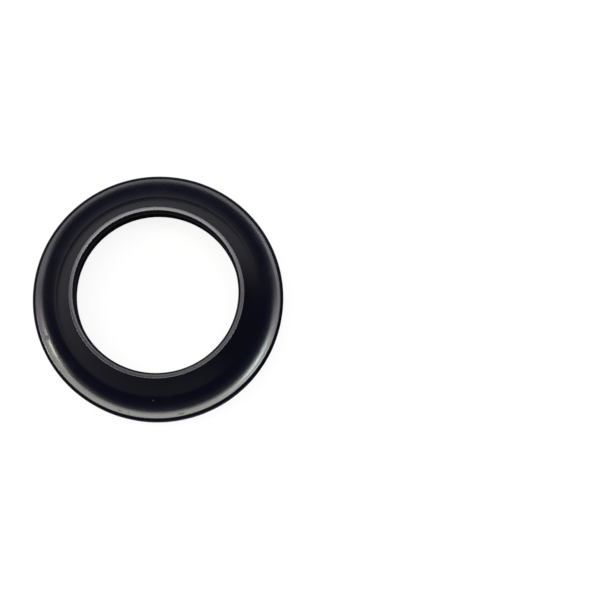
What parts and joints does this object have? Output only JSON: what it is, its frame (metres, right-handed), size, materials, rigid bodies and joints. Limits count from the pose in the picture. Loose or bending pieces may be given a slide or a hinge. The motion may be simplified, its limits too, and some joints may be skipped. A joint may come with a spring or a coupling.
{
  "type": "motorcycle fork dust seal",
  "caption": "Moulded black rubber wiper ring for a motorcycle fork: a flared cone with an inner wiping lip, a round flange and a short barbed spigot that presses into the slider.",
  "frame": {"origin": "centre of the spigot's flat base, on the fork tube's axis", "axes": "+Z along the fork tube's axis, from the spigot towards the wiping lip; -Y is the front, and the slot through the barbs faces right of the front, towards +X"},
  "size_m": [0.0512, 0.0512, 0.0143],
  "materials": {
    "rubber": "satin moulded black rubber, slightly glossy, with faint handling marks"
  },
  "bodies": {
    "root": {"dust_seal": "rubber"}
  },
  "joints": []
}
